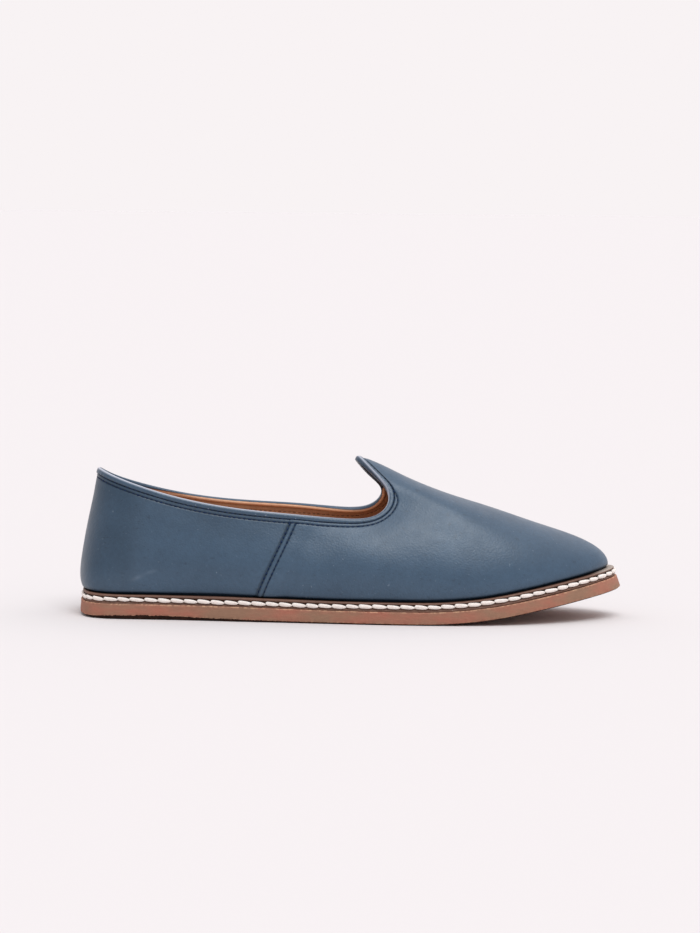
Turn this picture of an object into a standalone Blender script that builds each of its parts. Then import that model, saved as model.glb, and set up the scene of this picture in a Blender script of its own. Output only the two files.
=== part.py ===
"""Flat leather slip-on shoe for the right foot, with a peaked vamp and a stitched welt.

Frame: +X from heel to toe, -Y the lateral (outer) side, +Z up, origin on the floor under the
middle of the shoe. Working units are millimetres, and the meshes are written in metres.
"""
import math

import bmesh
import bpy
import numpy as np

MM = 0.001
CLEARANCE = 0.3

# Driving dimensions
LENGTH = 262.0
BALL_WIDTH = 86.0
INSTEP_HEIGHT = 77.3
OUTSOLE_THICKNESS = 6.0
MIDSOLE_THICKNESS = 4.4
INSOLE_THICKNESS = 2.0
WALL_THICKNESS = 1.8

# Sole outline, heel to toe: x in percent of LENGTH, y in percent of half BALL_WIDTH
SOLE_COLUMNS = ("x_lateral", "y_lateral", "x_medial", "y_medial")
SOLE_ROWS = {
    "heel_back": (0.0, 0.0, 0.0, 0.0),
    "heel_corner": (1.4, -48.0, 1.4, 47.0),
    "heel_side": (11.0, -70.0, 11.0, 68.0),
    "waist": (32.6, -83.0, 35.0, 66.0),
    "arch": (46.0, -91.5, 49.0, 82.0),
    "ball": (57.5, -98.0, 63.0, 99.0),
    "forepart": (75.0, -95.5, 78.5, 95.0),
    "toe_corner": (92.0, -58.0, 93.0, 64.0),
    "toe_tip": (100.0, 7.0, 100.0, 7.0),
}

# Upper wall at each sole station. The foot of the wall stands `inset` mm inside the sole edge. The
# topline point is in percent of LENGTH, half BALL_WIDTH and INSTEP_HEIGHT. The last six columns
# are the curve's handles in mm: lower one up, outwards and forwards, upper one forwards, out, down.
WALL_COLUMNS = ("inset", "top_x_lateral", "top_x_medial", "top_y", "top_z_lateral", "top_z_medial",
                "rise", "flare", "lean", "ahead", "out", "drop")
WALL_ROWS = {
    "heel_back": (1.0, 2.78, 2.78, 0.0, 91.35, 91.35, 6.5, 5.3, 0.0, -4.9, 0.0, 27.0),
    "heel_corner": (1.8, 5.4, 5.4, 31.0, 89.05, 86.05, 8.0, 5.2, 0.0, -2.5, 4.0, 24.0),
    "heel_side": (2.6, 17.2, 17.2, 55.0, 76.8, 74.2, 12.0, 5.0, 3.0, -4.0, 5.0, 22.0),
    "waist": (2.8, 39.4, 39.4, 65.0, 66.55, 67.05, 13.0, 5.5, 5.0, -7.5, 7.0, 18.0),
    "arch": (2.9, 47.4, 47.2, 63.0, 64.35, 65.15, 13.5, 5.2, 2.5, -2.5, 10.0, 15.0),
    "ball": (3.0, 53.8, 53.3, 58.0, 65.05, 66.6, 14.0, 5.0, 0.0, 2.0, 13.0, 12.0),
    "forepart": (3.0, 56.8, 55.6, 44.0, 76.1, 77.0, 14.0, 5.0, 0.0, 28.0, 10.0, 8.0),
    "toe_corner": (3.2, 53.8, 53.0, 26.5, 90.85, 89.2, 16.0, 3.0, 0.0, 48.0, 9.0, 15.0),
    "toe_tip": (3.4, 50.9, 50.9, 0.0, 99.8, 99.8, 16.6, 3.0, 0.0, 66.0, 0.0, 29.3),
}
STATIONS = tuple(SOLE_ROWS)

# Underside of the sole, along x: rounded heel, flat from there to the ball, sprung toe
HEEL_ROUND_RISE, HEEL_ROUND_LENGTH = 0.8, 24.0
SPRING_FROM, SPRING_RADIUS, SPRING_ANGLE = 163.0, 255.0, math.radians(11.0)
# Share by which the sole layers thicken from the ball back to the heel
WEDGE_GAIN, WEDGE_FROM, WEDGE_TO = 0.1, 140.0, 60.0

# Edge profiles, bottom to top: inset from the sole outline and height above the piece's underside
OUTSOLE_EDGE = ((1.6, 0.0), (0.6, 0.5), (0.0, 1.4), (0.0, 5.6), (0.4, OUTSOLE_THICKNESS))
MIDSOLE_EDGE = ((0.6, 0.0), (0.6, 0.5), (1.7, 0.8), (1.7, 2.9), (0.8, 3.2), (0.7, 4.0),
                (1.1, MIDSOLE_THICKNESS))
INSOLE_EDGE = ((0.0, 0.0), (0.2, 1.4), (0.8, INSOLE_THICKNESS))

# Side seam: the vamp laps over the quarter, and the lap fades into the vamp
LAP_THICKNESS, LAP_WIDTH, LAP_FADE = 0.8, 6.0, 8.0
SEAM_EDGE_WIDTH = 0.25

# Topline binding: a folded strip over the skived edge of the wall
BINDING_DEPTH = 2.8
SKIVE_OUTER, SKIVE_INNER = 0.4, 0.4
EDGE_DROP = 1.0
SKIVE_STEP = 0.3
# Strip section: depth below the topline and height above the wall's outer face
BINDING_SECTION = ((BINDING_DEPTH, 0.45), (1.2, 0.6), (0.3, 0.15), (0.0, -0.9), (0.3, -1.95),
                   (1.2, -2.4), (BINDING_DEPTH, -2.25), (BINDING_DEPTH, -1.7), (0.7, -1.7),
                   (0.7, -0.1), (BINDING_DEPTH, -0.1))

# Mesh resolution
SOLE_POINTS = 112
QUARTER_COLUMNS = 40
VAMP_COLUMNS = 52
WALL_ROW_COUNT = 11
ROW_CROWDING = 1.5
CURVE_SAMPLES = 81

UP = np.array([0.0, 0.0, 1.0])
SOLE_STACK = OUTSOLE_THICKNESS + MIDSOLE_THICKNESS + 2 * CLEARANCE


class ClosedSpline:
    """Smooth closed curve through rows of values, with continuous slope and curvature."""

    def __init__(self, knots, values):
        self.knots = knots
        self.values = values
        count = len(values)
        gaps = np.diff(knots)
        matrix = np.zeros((count, count))
        rates = np.zeros_like(values)
        for here in range(count):
            back, ahead = (here - 1) % count, (here + 1) % count
            matrix[here, back] += gaps[back]
            matrix[here, here] += 2 * (gaps[back] + gaps[here])
            matrix[here, ahead] += gaps[here]
            rates[here] = 6 * ((values[ahead] - values[here]) / gaps[here]
                               - (values[here] - values[back]) / gaps[back])
        self.bends = np.linalg.solve(matrix, rates)

    def __call__(self, u):
        u = np.mod(u, self.knots[-1])
        here = np.clip(np.searchsorted(self.knots, u, side="right") - 1, 0, len(self.values) - 1)
        ahead = (here + 1) % len(self.values)
        gap = (self.knots[here + 1] - self.knots[here])[:, None]
        a = (self.knots[here + 1] - u)[:, None] / gap
        b = 1 - a
        bend = (a**3 - a) * self.bends[here] + (b**3 - b) * self.bends[ahead]
        return a * self.values[here] + b * self.values[ahead] + bend * gap**2 / 6


def station_values(name, side):
    """One row of the loop: sole x, y, inset, topline x, y, z, and the two handles of the wall."""
    sole = dict(zip(SOLE_COLUMNS, SOLE_ROWS[name]))
    wall = dict(zip(WALL_COLUMNS, WALL_ROWS[name]))
    sign = -1 if side == "lateral" else 1
    half_width = BALL_WIDTH / 2
    return (sole["x_" + side] / 100 * LENGTH, sole["y_" + side] / 100 * half_width, wall["inset"],
            wall["top_x_" + side] / 100 * LENGTH, sign * wall["top_y"] / 100 * half_width,
            wall["top_z_" + side] / 100 * INSTEP_HEIGHT,
            wall["rise"], wall["flare"], wall["lean"],
            wall["ahead"], sign * wall["out"], -wall["drop"])


def shoe_loop():
    """Spline around the shoe: heel back, lateral side, toe, medial side and back to the heel."""
    rows = [station_values(name, "lateral") for name in STATIONS]
    rows += [station_values(name, "medial") for name in STATIONS[-2:0:-1]]
    table = np.array(rows)
    foot, top = table[:, 0:2], table[:, 3:6]
    foot_steps = np.linalg.norm(np.roll(foot, -1, axis=0) - foot, axis=1)
    top_steps = np.linalg.norm(np.roll(top, -1, axis=0) - top, axis=1)
    steps = (foot_steps / foot_steps.sum() + top_steps / top_steps.sum()) / 2
    knots = np.concatenate([[0.0], np.cumsum(steps)])
    return ClosedSpline(knots, table)


LOOP = shoe_loop()
TOE_U = LOOP.knots[STATIONS.index("toe_tip")]
SEAM_LATERAL_U = LOOP.knots[STATIONS.index("waist")]
SEAM_MEDIAL_U = LOOP.knots[len(LOOP.values) - STATIONS.index("waist")]


def sole_underside(x):
    """Height and slope angle of the sole's underside."""
    heel = np.clip(1 - x / HEEL_ROUND_LENGTH, 0, None)
    height = HEEL_ROUND_RISE * heel**2
    slope = -2 * HEEL_ROUND_RISE * heel / HEEL_ROUND_LENGTH
    ahead = np.clip(x - SPRING_FROM, 0, None)
    bent = np.minimum(ahead, SPRING_RADIUS * math.sin(SPRING_ANGLE))
    straight = ahead - bent
    height = height + SPRING_RADIUS - np.sqrt(SPRING_RADIUS**2 - bent**2)
    height = height + straight * math.tan(SPRING_ANGLE)
    return height, np.arctan(slope) + np.arcsin(bent / SPRING_RADIUS)


def sole_point(xy, height):
    """Point at a height above the underside, measured square to the bent sole."""
    base, angle = sole_underside(xy[..., 0])
    wedge = np.clip((xy[..., 0] - WEDGE_FROM) / (WEDGE_TO - WEDGE_FROM), 0, 1)
    height = height * (1 + WEDGE_GAIN * wedge**2 * (3 - 2 * wedge))
    x = xy[..., 0] - height * np.sin(angle)
    z = base + height * np.cos(angle)
    return np.stack([x, xy[..., 1], z], axis=-1)


def sole_outline(u, inset):
    """Sole outline in plan, moved inwards by the inset."""
    step = 1e-4
    along = LOOP(u + step)[:, 0:2] - LOOP(u - step)[:, 0:2]
    outward = np.stack([along[:, 1], -along[:, 0]], axis=1)
    outward /= np.linalg.norm(outward, axis=1, keepdims=True)
    return LOOP(u)[:, 0:2] - outward * np.reshape(inset, (-1, 1)), outward


def wall_handles(u):
    """The four control points of the wall's curve, from the foot up to the topline."""
    row = LOOP(u)
    foot_plan, outward = sole_outline(u, row[:, 2])
    foot = sole_point(foot_plan, SOLE_STACK)
    outward = np.column_stack([outward, np.zeros(len(u))])
    rise, flare, lean = row[:, 6:7], row[:, 7:8], row[:, 8:9]
    lower = foot + rise * UP + flare * outward + lean * np.array([1.0, 0.0, 0.0])
    top = row[:, 3:6]
    return foot, lower, top + row[:, 9:12], top


def wall_curve(u, t):
    """Points of the wall's outer face: u around the shoe, t from the foot (0) to the topline (1)."""
    foot, lower, upper, top = (point[:, None, :] for point in wall_handles(u))
    t = t[..., None]
    s = 1 - t
    return s**3 * foot + 3 * s**2 * t * lower + 3 * s * t**2 * upper + t**3 * top


def wall_lengths(u):
    """Arc length along the wall from the topline down, at evenly spaced t."""
    t = np.broadcast_to(np.linspace(1, 0, CURVE_SAMPLES), (len(u), CURVE_SAMPLES))
    points = wall_curve(u, t)
    steps = np.linalg.norm(np.diff(points, axis=1), axis=2)
    return np.column_stack([np.zeros(len(u)), np.cumsum(steps, axis=1)])


def wall_points(u, depth):
    """Points and outward normals of the wall at depths (columns by rows) below the topline."""
    lengths = wall_lengths(u)
    samples = np.linspace(1, 0, CURVE_SAMPLES)
    t = np.stack([np.interp(depth[i], lengths[i], samples) for i in range(len(u))])
    step = 1e-4
    around = wall_curve(u + step, t) - wall_curve(u - step, t)
    upwards = wall_curve(u, np.minimum(t + step, 1)) - wall_curve(u, np.maximum(t - step, 0))
    normal = np.cross(around, upwards)
    normal /= np.linalg.norm(normal, axis=2, keepdims=True)
    return wall_curve(u, t), normal


def wall_columns():
    """Positions around the shoe: quarter, then vamp, with a double column at each side seam."""
    edge = SEAM_EDGE_WIDTH / LENGTH / 2
    quarter = np.linspace(SEAM_MEDIAL_U - 1 + edge, SEAM_LATERAL_U - edge, QUARTER_COLUMNS)
    vamp = np.linspace(SEAM_LATERAL_U, SEAM_MEDIAL_U, VAMP_COLUMNS)
    on_vamp = np.concatenate([np.zeros(QUARTER_COLUMNS, bool), np.ones(VAMP_COLUMNS, bool)])
    return np.concatenate([quarter, vamp]), on_vamp


def lap_height(points, depth, on_vamp):
    """Thickness that the vamp's lapped edge adds next to each side seam."""
    height = np.zeros(points.shape[:2])
    for seam_u in (SEAM_LATERAL_U, SEAM_MEDIAL_U):
        share = depth / depth[:, -1:]
        seam_length = wall_lengths(np.array([seam_u]))[0, -1]
        seam, _ = wall_points(np.full(len(points), seam_u), share * seam_length)
        distance = np.linalg.norm(points - seam, axis=2)
        fade = np.clip((distance - LAP_WIDTH) / LAP_FADE, 0, 1)
        lap = LAP_THICKNESS * (1 - fade**2 * (3 - 2 * fade))
        height = np.maximum(height, lap)
    return height * on_vamp[:, None]


def sole_layer_loops(edge, base):
    """Outlines of a layer cut to the sole's edge, from its underside to its top."""
    u = loop_positions()
    return [sole_point(sole_outline(u, inset)[0], base + height) for inset, height in edge]


def insole_loops():
    """Outlines of the insole, which fills the floor between the feet of the wall."""
    u = loop_positions()
    room = LOOP(u)[:, 2] + WALL_THICKNESS + CLEARANCE
    return [sole_point(sole_outline(u, room + inset)[0], SOLE_STACK + height)
            for inset, height in INSOLE_EDGE]


def loop_positions():
    """Even steps from the heel to the toe and back, so that opposite points pair up."""
    half = SOLE_POINTS // 2
    lateral = np.linspace(0, TOE_U, half, endpoint=False)
    medial = np.linspace(TOE_U, 1, half, endpoint=False)
    return np.concatenate([lateral, medial])


def upper_rings():
    """Section of the wall at each column: up the outer face, over the edge and down the lining."""
    u, on_vamp = wall_columns()
    length = wall_lengths(u)[:, -1:]
    skive_end = BINDING_DEPTH + CLEARANCE
    below = skive_end + SKIVE_STEP
    share = 1 - (1 - np.linspace(0, 1, WALL_ROW_COUNT))**ROW_CROWDING
    body = below + (length - below) * share
    edge = np.broadcast_to([EDGE_DROP, skive_end], (len(u), 2))
    depth = np.concatenate([edge, body], axis=1)
    points, normal = wall_points(u, depth)
    outer_lift = lap_height(points, depth, on_vamp)
    outer_lift[:, :2] = -SKIVE_OUTER
    inner_drop = np.full(depth.shape, WALL_THICKNESS)
    inner_drop[:, :2] -= SKIVE_INNER
    outer = points + normal * outer_lift[..., None]
    inner = points - normal * inner_drop[..., None]
    foot_inset = LOOP(u)[:, 2]
    outer[:, -1] = sole_point(sole_outline(u, foot_inset - outer_lift[:, -1])[0], SOLE_STACK)
    inner[:, -1] = sole_point(sole_outline(u, foot_inset + WALL_THICKNESS)[0], SOLE_STACK)
    return np.concatenate([outer[:, ::-1], inner], axis=1)


def binding_rings():
    """Section of the folded strip at each column."""
    u, _ = wall_columns()
    depth = np.broadcast_to([row[0] for row in BINDING_SECTION], (len(u), len(BINDING_SECTION)))
    lift = np.array([row[1] for row in BINDING_SECTION])
    points, normal = wall_points(u, depth)
    return points + normal * lift[None, :, None]


def ring_mesh(rings):
    """Vertices and faces of a closed tube whose section runs around the shoe."""
    columns, rows = rings.shape[:2]
    faces = []
    for i in range(columns):
        ahead = (i + 1) % columns
        for j in range(rows):
            above = (j + 1) % rows
            faces.append((i * rows + j, ahead * rows + j, ahead * rows + above, i * rows + above))
    return rings.reshape(-1, 3), faces


def slab_mesh(loops):
    """Vertices and faces of a sole layer: stacked outlines, closed below and above by rungs."""
    count = len(loops[0])
    half = count // 2
    faces = []
    for level in range(len(loops) - 1):
        low, high = level * count, (level + 1) * count
        for i in range(count):
            ahead = (i + 1) % count
            faces.append((low + i, low + ahead, high + ahead, high + i))
    rungs = [(0, 1, count - 1)]
    rungs += [(i, i + 1, count - i - 1, count - i) for i in range(1, half - 1)]
    rungs += [(half - 1, half, half + 1)]
    last = (len(loops) - 1) * count
    for rung in rungs:
        faces.append(tuple(reversed(rung)))
        faces.append(tuple(last + i for i in rung))
    return np.concatenate(loops), faces


def plain_material(name, colour, roughness):
    material = bpy.data.materials.new(name)
    material.use_nodes = True
    shader = material.node_tree.nodes["Principled BSDF"]
    shader.inputs["Base Color"].default_value = (*colour, 1.0)
    shader.inputs["Roughness"].default_value = roughness
    shader.inputs["Metallic"].default_value = 0.0
    return material


def add_piece(name, vertices, faces, material):
    """Object from millimetre vertices, with soft shading between its sharp edges."""
    mesh = bpy.data.meshes.new(name)
    build = bmesh.new()
    corners = [build.verts.new(vertex * MM) for vertex in vertices]
    for face in faces:
        build.faces.new([corners[i] for i in face])
    bmesh.ops.recalc_face_normals(build, faces=build.faces[:])
    build.to_mesh(mesh)
    build.free()
    mesh.materials.append(material)
    mesh.shade_smooth()
    mesh.set_sharp_from_angle(angle=math.radians(35))
    piece = bpy.data.objects.new(name, mesh)
    bpy.context.scene.collection.objects.link(piece)
    return piece


def main():
    for item in list(bpy.data.objects):
        bpy.data.objects.remove(item)
    midsole_base = OUTSOLE_THICKNESS + CLEARANCE
    shapes = {
        "outsole": slab_mesh(sole_layer_loops(OUTSOLE_EDGE, 0.0)),
        "midsole": slab_mesh(sole_layer_loops(MIDSOLE_EDGE, midsole_base)),
        "insole": slab_mesh(insole_loops()),
        "upper": ring_mesh(upper_rings()),
        "collar_binding": ring_mesh(binding_rings()),
    }
    materials = {
        "outsole": plain_material("sole_rubber", (0.30, 0.135, 0.085), 0.7),
        "midsole": plain_material("welt_leather", (0.16, 0.085, 0.055), 0.65),
        "insole": plain_material("insole_leather", (0.42, 0.22, 0.11), 0.6),
        "upper": plain_material("blue_leather", (0.075, 0.11, 0.16), 0.5),
        "collar_binding": plain_material("binding_leather", (0.07, 0.10, 0.15), 0.5),
    }
    everything = np.concatenate([vertices for vertices, _ in shapes.values()])
    low, high = everything.min(axis=0), everything.max(axis=0)
    origin = np.array([(low[0] + high[0]) / 2, (low[1] + high[1]) / 2, 0.0])
    for name, (vertices, faces) in shapes.items():
        add_piece(name, vertices - origin, faces, materials[name])


main()
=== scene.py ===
"""Looks of the flat leather slip-on: panels, lining, binding, stitches, sole finish, stage and light.

Shapes are worked out in millimetres from the same section tables as the solids, but for the heel's
top edge, which stands 1.1 mm further forward. Heel at x = 0, lateral side at -y; all of it is then
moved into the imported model's frame in metres.
"""
import math

import bpy
import numpy as np
from mathutils import Matrix, Vector


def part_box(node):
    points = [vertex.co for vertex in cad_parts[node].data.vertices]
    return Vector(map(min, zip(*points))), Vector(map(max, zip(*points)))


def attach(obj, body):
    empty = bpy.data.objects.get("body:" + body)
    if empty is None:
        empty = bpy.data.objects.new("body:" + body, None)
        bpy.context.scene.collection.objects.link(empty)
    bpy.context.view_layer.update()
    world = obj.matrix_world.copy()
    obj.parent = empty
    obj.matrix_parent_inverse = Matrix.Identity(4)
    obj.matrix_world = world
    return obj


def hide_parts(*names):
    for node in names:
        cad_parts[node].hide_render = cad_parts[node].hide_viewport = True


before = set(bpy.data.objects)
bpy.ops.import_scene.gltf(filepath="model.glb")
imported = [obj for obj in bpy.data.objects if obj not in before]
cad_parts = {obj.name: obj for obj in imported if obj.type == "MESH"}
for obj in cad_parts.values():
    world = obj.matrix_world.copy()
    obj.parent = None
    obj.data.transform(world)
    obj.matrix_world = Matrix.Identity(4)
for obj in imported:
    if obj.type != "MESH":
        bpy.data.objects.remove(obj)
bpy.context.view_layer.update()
BODY = "root"
MM = 0.001

# Driving dimensions
LENGTH = 262.0
BALL_WIDTH = 86.0
INSTEP_HEIGHT = 77.3
OUTSOLE_THICKNESS = 6.0
MIDSOLE_THICKNESS = 4.4
INSOLE_THICKNESS = 2.0
WALL_THICKNESS = 1.8
CLEARANCE = 0.3
SOLE_STACK = OUTSOLE_THICKNESS + MIDSOLE_THICKNESS + 2 * CLEARANCE
MIDSOLE_BASE = OUTSOLE_THICKNESS + CLEARANCE

# Sole outline, heel to toe: x in percent of LENGTH, y in percent of half BALL_WIDTH
SOLE_COLUMNS = ("x_lateral", "y_lateral", "x_medial", "y_medial")
SOLE_ROWS = {
    "heel_back": (0.0, 0.0, 0.0, 0.0),
    "heel_corner": (1.4, -48.0, 1.4, 47.0),
    "heel_side": (11.0, -70.0, 11.0, 68.0),
    "waist": (32.6, -83.0, 35.0, 66.0),
    "arch": (46.0, -91.5, 49.0, 82.0),
    "ball": (57.5, -98.0, 63.0, 99.0),
    "forepart": (75.0, -95.5, 78.5, 95.0),
    "toe_corner": (92.0, -58.0, 93.0, 64.0),
    "toe_tip": (100.0, 7.0, 100.0, 7.0),
}

# Upper wall at each sole station. The foot of the wall stands `inset` mm inside the sole edge. The
# topline point is in percent of LENGTH, half BALL_WIDTH and INSTEP_HEIGHT. The last six columns
# are the curve's handles in mm: lower one up, outwards and forwards, upper one forwards, out, down.
WALL_COLUMNS = ("inset", "top_x_lateral", "top_x_medial", "top_y", "top_z_lateral", "top_z_medial",
                "rise", "flare", "lean", "ahead", "out", "drop")
WALL_ROWS = {
    "heel_back": (1.0, 3.2, 3.2, 0.0, 91.35, 91.35, 6.5, 5.3, 0.0, -4.9, 0.0, 27.0),
    "heel_corner": (1.8, 5.4, 5.4, 31.0, 89.05, 86.05, 8.0, 5.2, 0.0, -2.5, 4.0, 24.0),
    "heel_side": (2.6, 17.2, 17.2, 55.0, 76.8, 74.2, 12.0, 5.0, 3.0, -4.0, 5.0, 22.0),
    "waist": (2.8, 39.4, 39.4, 65.0, 66.55, 67.05, 13.0, 5.5, 5.0, -7.5, 7.0, 18.0),
    "arch": (2.9, 47.4, 47.2, 63.0, 64.35, 65.15, 13.5, 5.2, 2.5, -2.5, 10.0, 15.0),
    "ball": (3.0, 53.8, 53.3, 58.0, 65.05, 66.6, 14.0, 5.0, 0.0, 2.0, 13.0, 12.0),
    "forepart": (3.0, 56.8, 55.6, 44.0, 76.1, 77.0, 14.0, 5.0, 0.0, 28.0, 10.0, 8.0),
    "toe_corner": (3.2, 53.8, 53.0, 26.5, 90.85, 89.2, 16.0, 3.0, 0.0, 48.0, 9.0, 15.0),
    "toe_tip": (3.4, 50.9, 50.9, 0.0, 99.8, 99.8, 16.6, 3.0, 0.0, 66.0, 0.0, 29.3),
}
STATIONS = tuple(SOLE_ROWS)

# Underside of the sole, along x: rounded heel, flat from there to the ball, sprung toe
HEEL_ROUND_RISE, HEEL_ROUND_LENGTH = 0.8, 24.0
SPRING_FROM, SPRING_RADIUS, SPRING_ANGLE = 163.0, 255.0, math.radians(11.0)
# Share by which the sole layers thicken from the ball back to the heel
WEDGE_GAIN, WEDGE_FROM, WEDGE_TO = 0.1, 140.0, 60.0

# Leather layers, and the gap between the panels' back and the wall's inner face
LEATHER = 0.8
LINING = 0.9
BACK_GAP = 0.1
LAP_WIDTH, LAP_FADE = 6.0, 8.0
TUCK_UNDER_LAP = 5.0
# Rounded edge of the lap: drop and width
LAP_DROP, LAP_ROUND = 0.25, 0.5
# Foot of the wall: tuck inwards, heights where it starts and is full, sink into the welt
FOOT_TUCK, FOOT_TUCK_HEIGHT, FOOT_EDGE, FOOT_SINK = 0.7, 0.9, 0.2, 0.28
# Rows near the foot, as heights above it, and the height where the even rows end
FOOT_ROWS, BODY_END = (3.2, 2.6, 2.1, 1.6, 1.2, 0.8, 0.4, 0.0), 4.2
# Unevenness of the leather: height of the long and short waves, depths where they start and are full
LONG_WAVE, SHORT_WAVE, WAVES_FROM, WAVES_FULL = 0.22, 0.14, 4.0, 14.0
# Width of the binding's inner flange along x, and on the tongue
FLANGE_AT, FLANGE_WIDTHS = (29.0, 41.0, 65.0, 120.0), (1.6, 0.7, 0.6, 0.25)
FLANGE_TONGUE = 2.1
# Crown of the tongue above the plain wall, and the hollow ahead of it: rise, place, width
CROWN, CROWN_AT, CROWN_WIDTH = 1.35, 11.0, 13.0
HOLLOW, HOLLOW_AT, HOLLOW_WIDTH = 0.25, 44.0, 18.0
# Width of that ridge at the topline, and how it spreads with the depth
RIDGE_WIDTH, RIDGE_SPREAD = 9.0, 0.15

# Collar rows: distance from the topline, and the share of the tongue where they have met
FIRST_ROW, SECOND_ROW = 2.9, 4.7
TONGUE_MERGE = 0.45
# Seam rows: distance from the lapped edge, width of the mark, radius of the thread; top of the rows
SEAM_ROWS, SEAM_MARKS, SEAM_THREADS = (0.7, 3.3), (0.62, 0.42), (0.36, 0.25)
SEAM_TOP = 4.9
STITCH_PITCH, STITCH_LENGTH, STITCH_RADIUS = 2.4, 1.85, 0.25
# Leather at the rows: pinched in a groove, sunk under the binding, puffed between two rows, with painted
# shade in the grooves
GROOVE_DEPTH, GROOVE_WIDTH = 0.26, 0.42
COLLAR_SINK, COLLAR_PUFF, SEAM_PUFF = 0.5, 0.08, 0.2
FIRST_ROW_SHADE, FIRST_ROW_WIDTH, ROW_SHADE = 0.88, 0.44, 0.68

# Painted shade and light on the leather: share by which it is darker, where that has faded out, where it is
# full.
# Painted shade over the heel's rounded back along x, on the quarter towards its topline by depth, and in the
# crease at the foot by height above the welt; painted light just above the welt, by height, as a negative
# share.
HEEL_BACK_SHADE, HIGH_SHADE, FOOT_SHADE = (0.24, 36.0, 22.0), (0.1, 24.0, 6.0), (0.7, 2.4, 0.2)
LOW_LIGHT_QUARTER, LOW_LIGHT_VAMP = (-0.15, 15.0, 4.0), (-0.05, 15.0, 4.0)
# Painted shadow of the lap's edge on the quarter beside it: by how much, and how wide
LAP_SHADOW, LAP_SHADOW_WIDTH = 0.45, 0.45

# Lining: band rolled out below the binding, from and to below the topline, how far it stands out
BAND_FROM, BAND_TO, BAND_ROLL = 0.4, 2.3, 0.7
# Where along x the roll starts and is full; thinning under the flange and pinch at the stitch row
ROLL_FROM, ROLL_FULL = 38.0, 60.0
LINING_THINNED, LINING_PINCH = 0.35, 0.2
# Tones of the lining and of its band; the band is paler partly by its own colour and partly by painted light,
# which gains towards the throat along x; painted shade in the crease below the band and on the tongue
LINING_TONE, BAND_PALE_AND_LIT, BAND_LIGHT_GAIN, GAIN_FROM, GAIN_FULL = 0.64, 0.2, 0.3, 50.0, 130.0
CREASE_SHADE, CREASE_WIDTH, TONGUE_SHADE = 0.15, 0.3, 0.45

# Binding: edge of the outer fold, pull of each stitch
BINDING_EDGE, STITCH_PULL = FIRST_ROW - 0.12, 0.07
# Flatter fold at the heel, along x, and painted shade at the fold's lower edge, by depth: share, faded out,
# full
HEEL_FLATTER, EDGE_SHADE = (0.6, 20.0, 9.0), (0.6, BINDING_EDGE - 0.35, BINDING_EDGE)
# Painted highlight along the fold's top: strength on the two sides, distance from the topline, width
HIGHLIGHT_LATERAL, HIGHLIGHT_MEDIAL, HIGHLIGHT_AT, HIGHLIGHT_WIDTH = 0.95, 0.2, 0.15, 0.42
# On the tongue the painted highlight is weaker at the side, stronger at the peak, further from the edge, and
# the fold gets painted shade
TONGUE_WEAKER, TONGUE_PEAK, TONGUE_SHIFT, FOLD_SHADE = 0.3, 0.5, 0.75, 0.25

# Short scuffs on the lateral heel: from and to in x and z, width, strength
SCUFFS = (((26.8, 19.1), (31.7, 21.1), 0.9, 0.24), ((33.0, 22.2), (38.3, 23.8), 0.8, 0.16))

# Welt stitches: number, radius, and place of the row in the welt's groove
WELT_STITCHES = 92
WELT_STITCH_RADIUS = 0.97
WELT_ROW_INSET, WELT_ROW_HEIGHT = 0.55, 2.0
# Girth along a stitch, from its blunt start to its tapered end
GIRTH_AT = (0, 0.03, 0.08, 0.16, 0.3, 0.6, 0.8, 0.93, 1)
GIRTHS = (0.3, 0.62, 0.84, 0.96, 1, 0.97, 0.8, 0.5, 0.15)
# Slant and random sway across the row, bow outwards, sink of the ends
STITCH_SLANT, STITCH_SWAY, STITCH_BOW, STITCH_SUNK = 0.26, 0.1, 0.3, 0.35
# Slit between the two strands, thickness as a share of the width
STRAND_SLIT, STITCH_FLAT = 0.14, 0.8
# How far the hand-sewn row and its groove wander upwards, along x
ROW_AT = (0.0, 6.0, 21.0, 65.0, 109.0, 153.0, 197.0, 229.0, 262.0)
ROW_RISES = (-0.4, 0.1, 0.45, 0.0, -0.05, 0.45, 0.45, 0.15, 0.0)

# How far the rubber's outer rim stands up against the welt, along x
RIM_AT = (0.0, 6.0, 21.0, 65.0, 109.0, 197.0, 232.0, 252.0)
RIM_RISES = (0.15, 0.55, 0.85, 0.75, 0.5, 0.4, 0.05, 0.3)

# The rubber's lower edge stands out at the toe: by how much, and from which x
TOE_FLARE, TOE_FLARE_FROM = 0.9, 240.0
# Height of the bevel under the rubber's edge, along x; its dark finish is a painted contact shadow
BEVEL_AT = (0.0, 6.0, 17.0, 32.0, 50.0, 63.0, 88.0, 106.0, 150.0, 262.0)
BEVEL_HEIGHTS = (0.3, 0.75, 1.55, 1.95, 1.7, 1.3, 0.95, 0.75, 0.6, 0.35)
# Raggedness of the cut edges, ribs of the tread
RUBBER_RAGGED, WELT_RAGGED = 0.09, 0.08
RIB_HEIGHT, RIB_PITCH = 0.35, 3.0
# Welt's top paler at the toe, a painted reflection: from and full along x, strength
TOE_REFLECTION_FROM, TOE_REFLECTION_FULL, TOE_REFLECTION = 246.0, 256.0, 0.55
# Gap between the insole's edge and the wall
INSOLE_GAP = 0.35
# Outsole's solid: outline steps on each side, height of its widest edge
SOLID_STEPS, SOLID_EDGE_HEIGHT = 56, 1.4

CURVE_SAMPLES = 81
# How far along x a side seam is looked for
SEAM_REACH = 45.0
UP = np.array([0.0, 0.0, 1.0])
FORWARD = np.array([1.0, 0.0, 0.0])


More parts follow.
